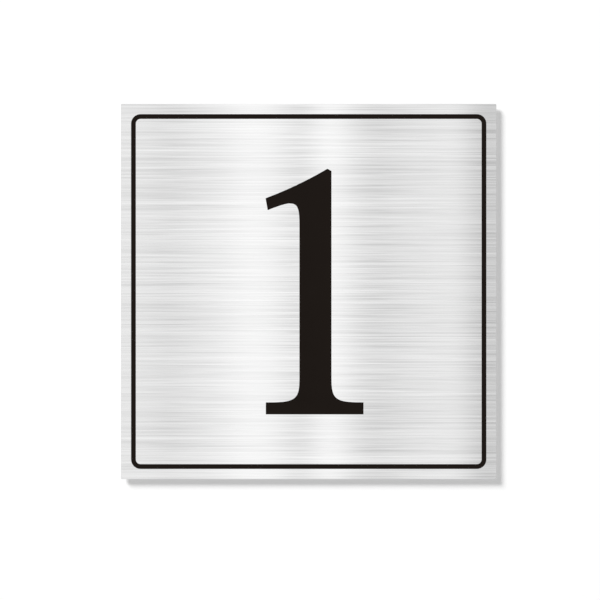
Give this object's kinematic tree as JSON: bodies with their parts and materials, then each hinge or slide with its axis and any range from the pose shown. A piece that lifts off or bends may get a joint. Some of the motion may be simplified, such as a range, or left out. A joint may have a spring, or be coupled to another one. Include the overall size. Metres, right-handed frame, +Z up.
{
  "type": "house number sign",
  "caption": "Square brushed-metal plate that shows a house number as a black serif numeral inside a thin border with rounded corners, stuck flat on a wall with foam tape.",
  "frame": {"origin": "the middle of the wall plane, on the back face of the middle tape strip", "axes": "+Z up the sign, +Y into the wall, +X to the right of someone who reads the sign"},
  "size_m": [0.15, 0.0035, 0.15],
  "materials": {
    "brushed_plate": "brushed from side to side",
    "black_enamel": "satin black enamel",
    "foam_tape": "dark grey closed-cell foam"
  },
  "bodies": {
    "root": {"face_plate": "brushed_plate", "numeral_one": "black_enamel", "border_line": "black_enamel", "tape_strip_left": "foam_tape", "tape_strip_middle": "foam_tape", "tape_strip_right": "foam_tape"}
  },
  "joints": []
}
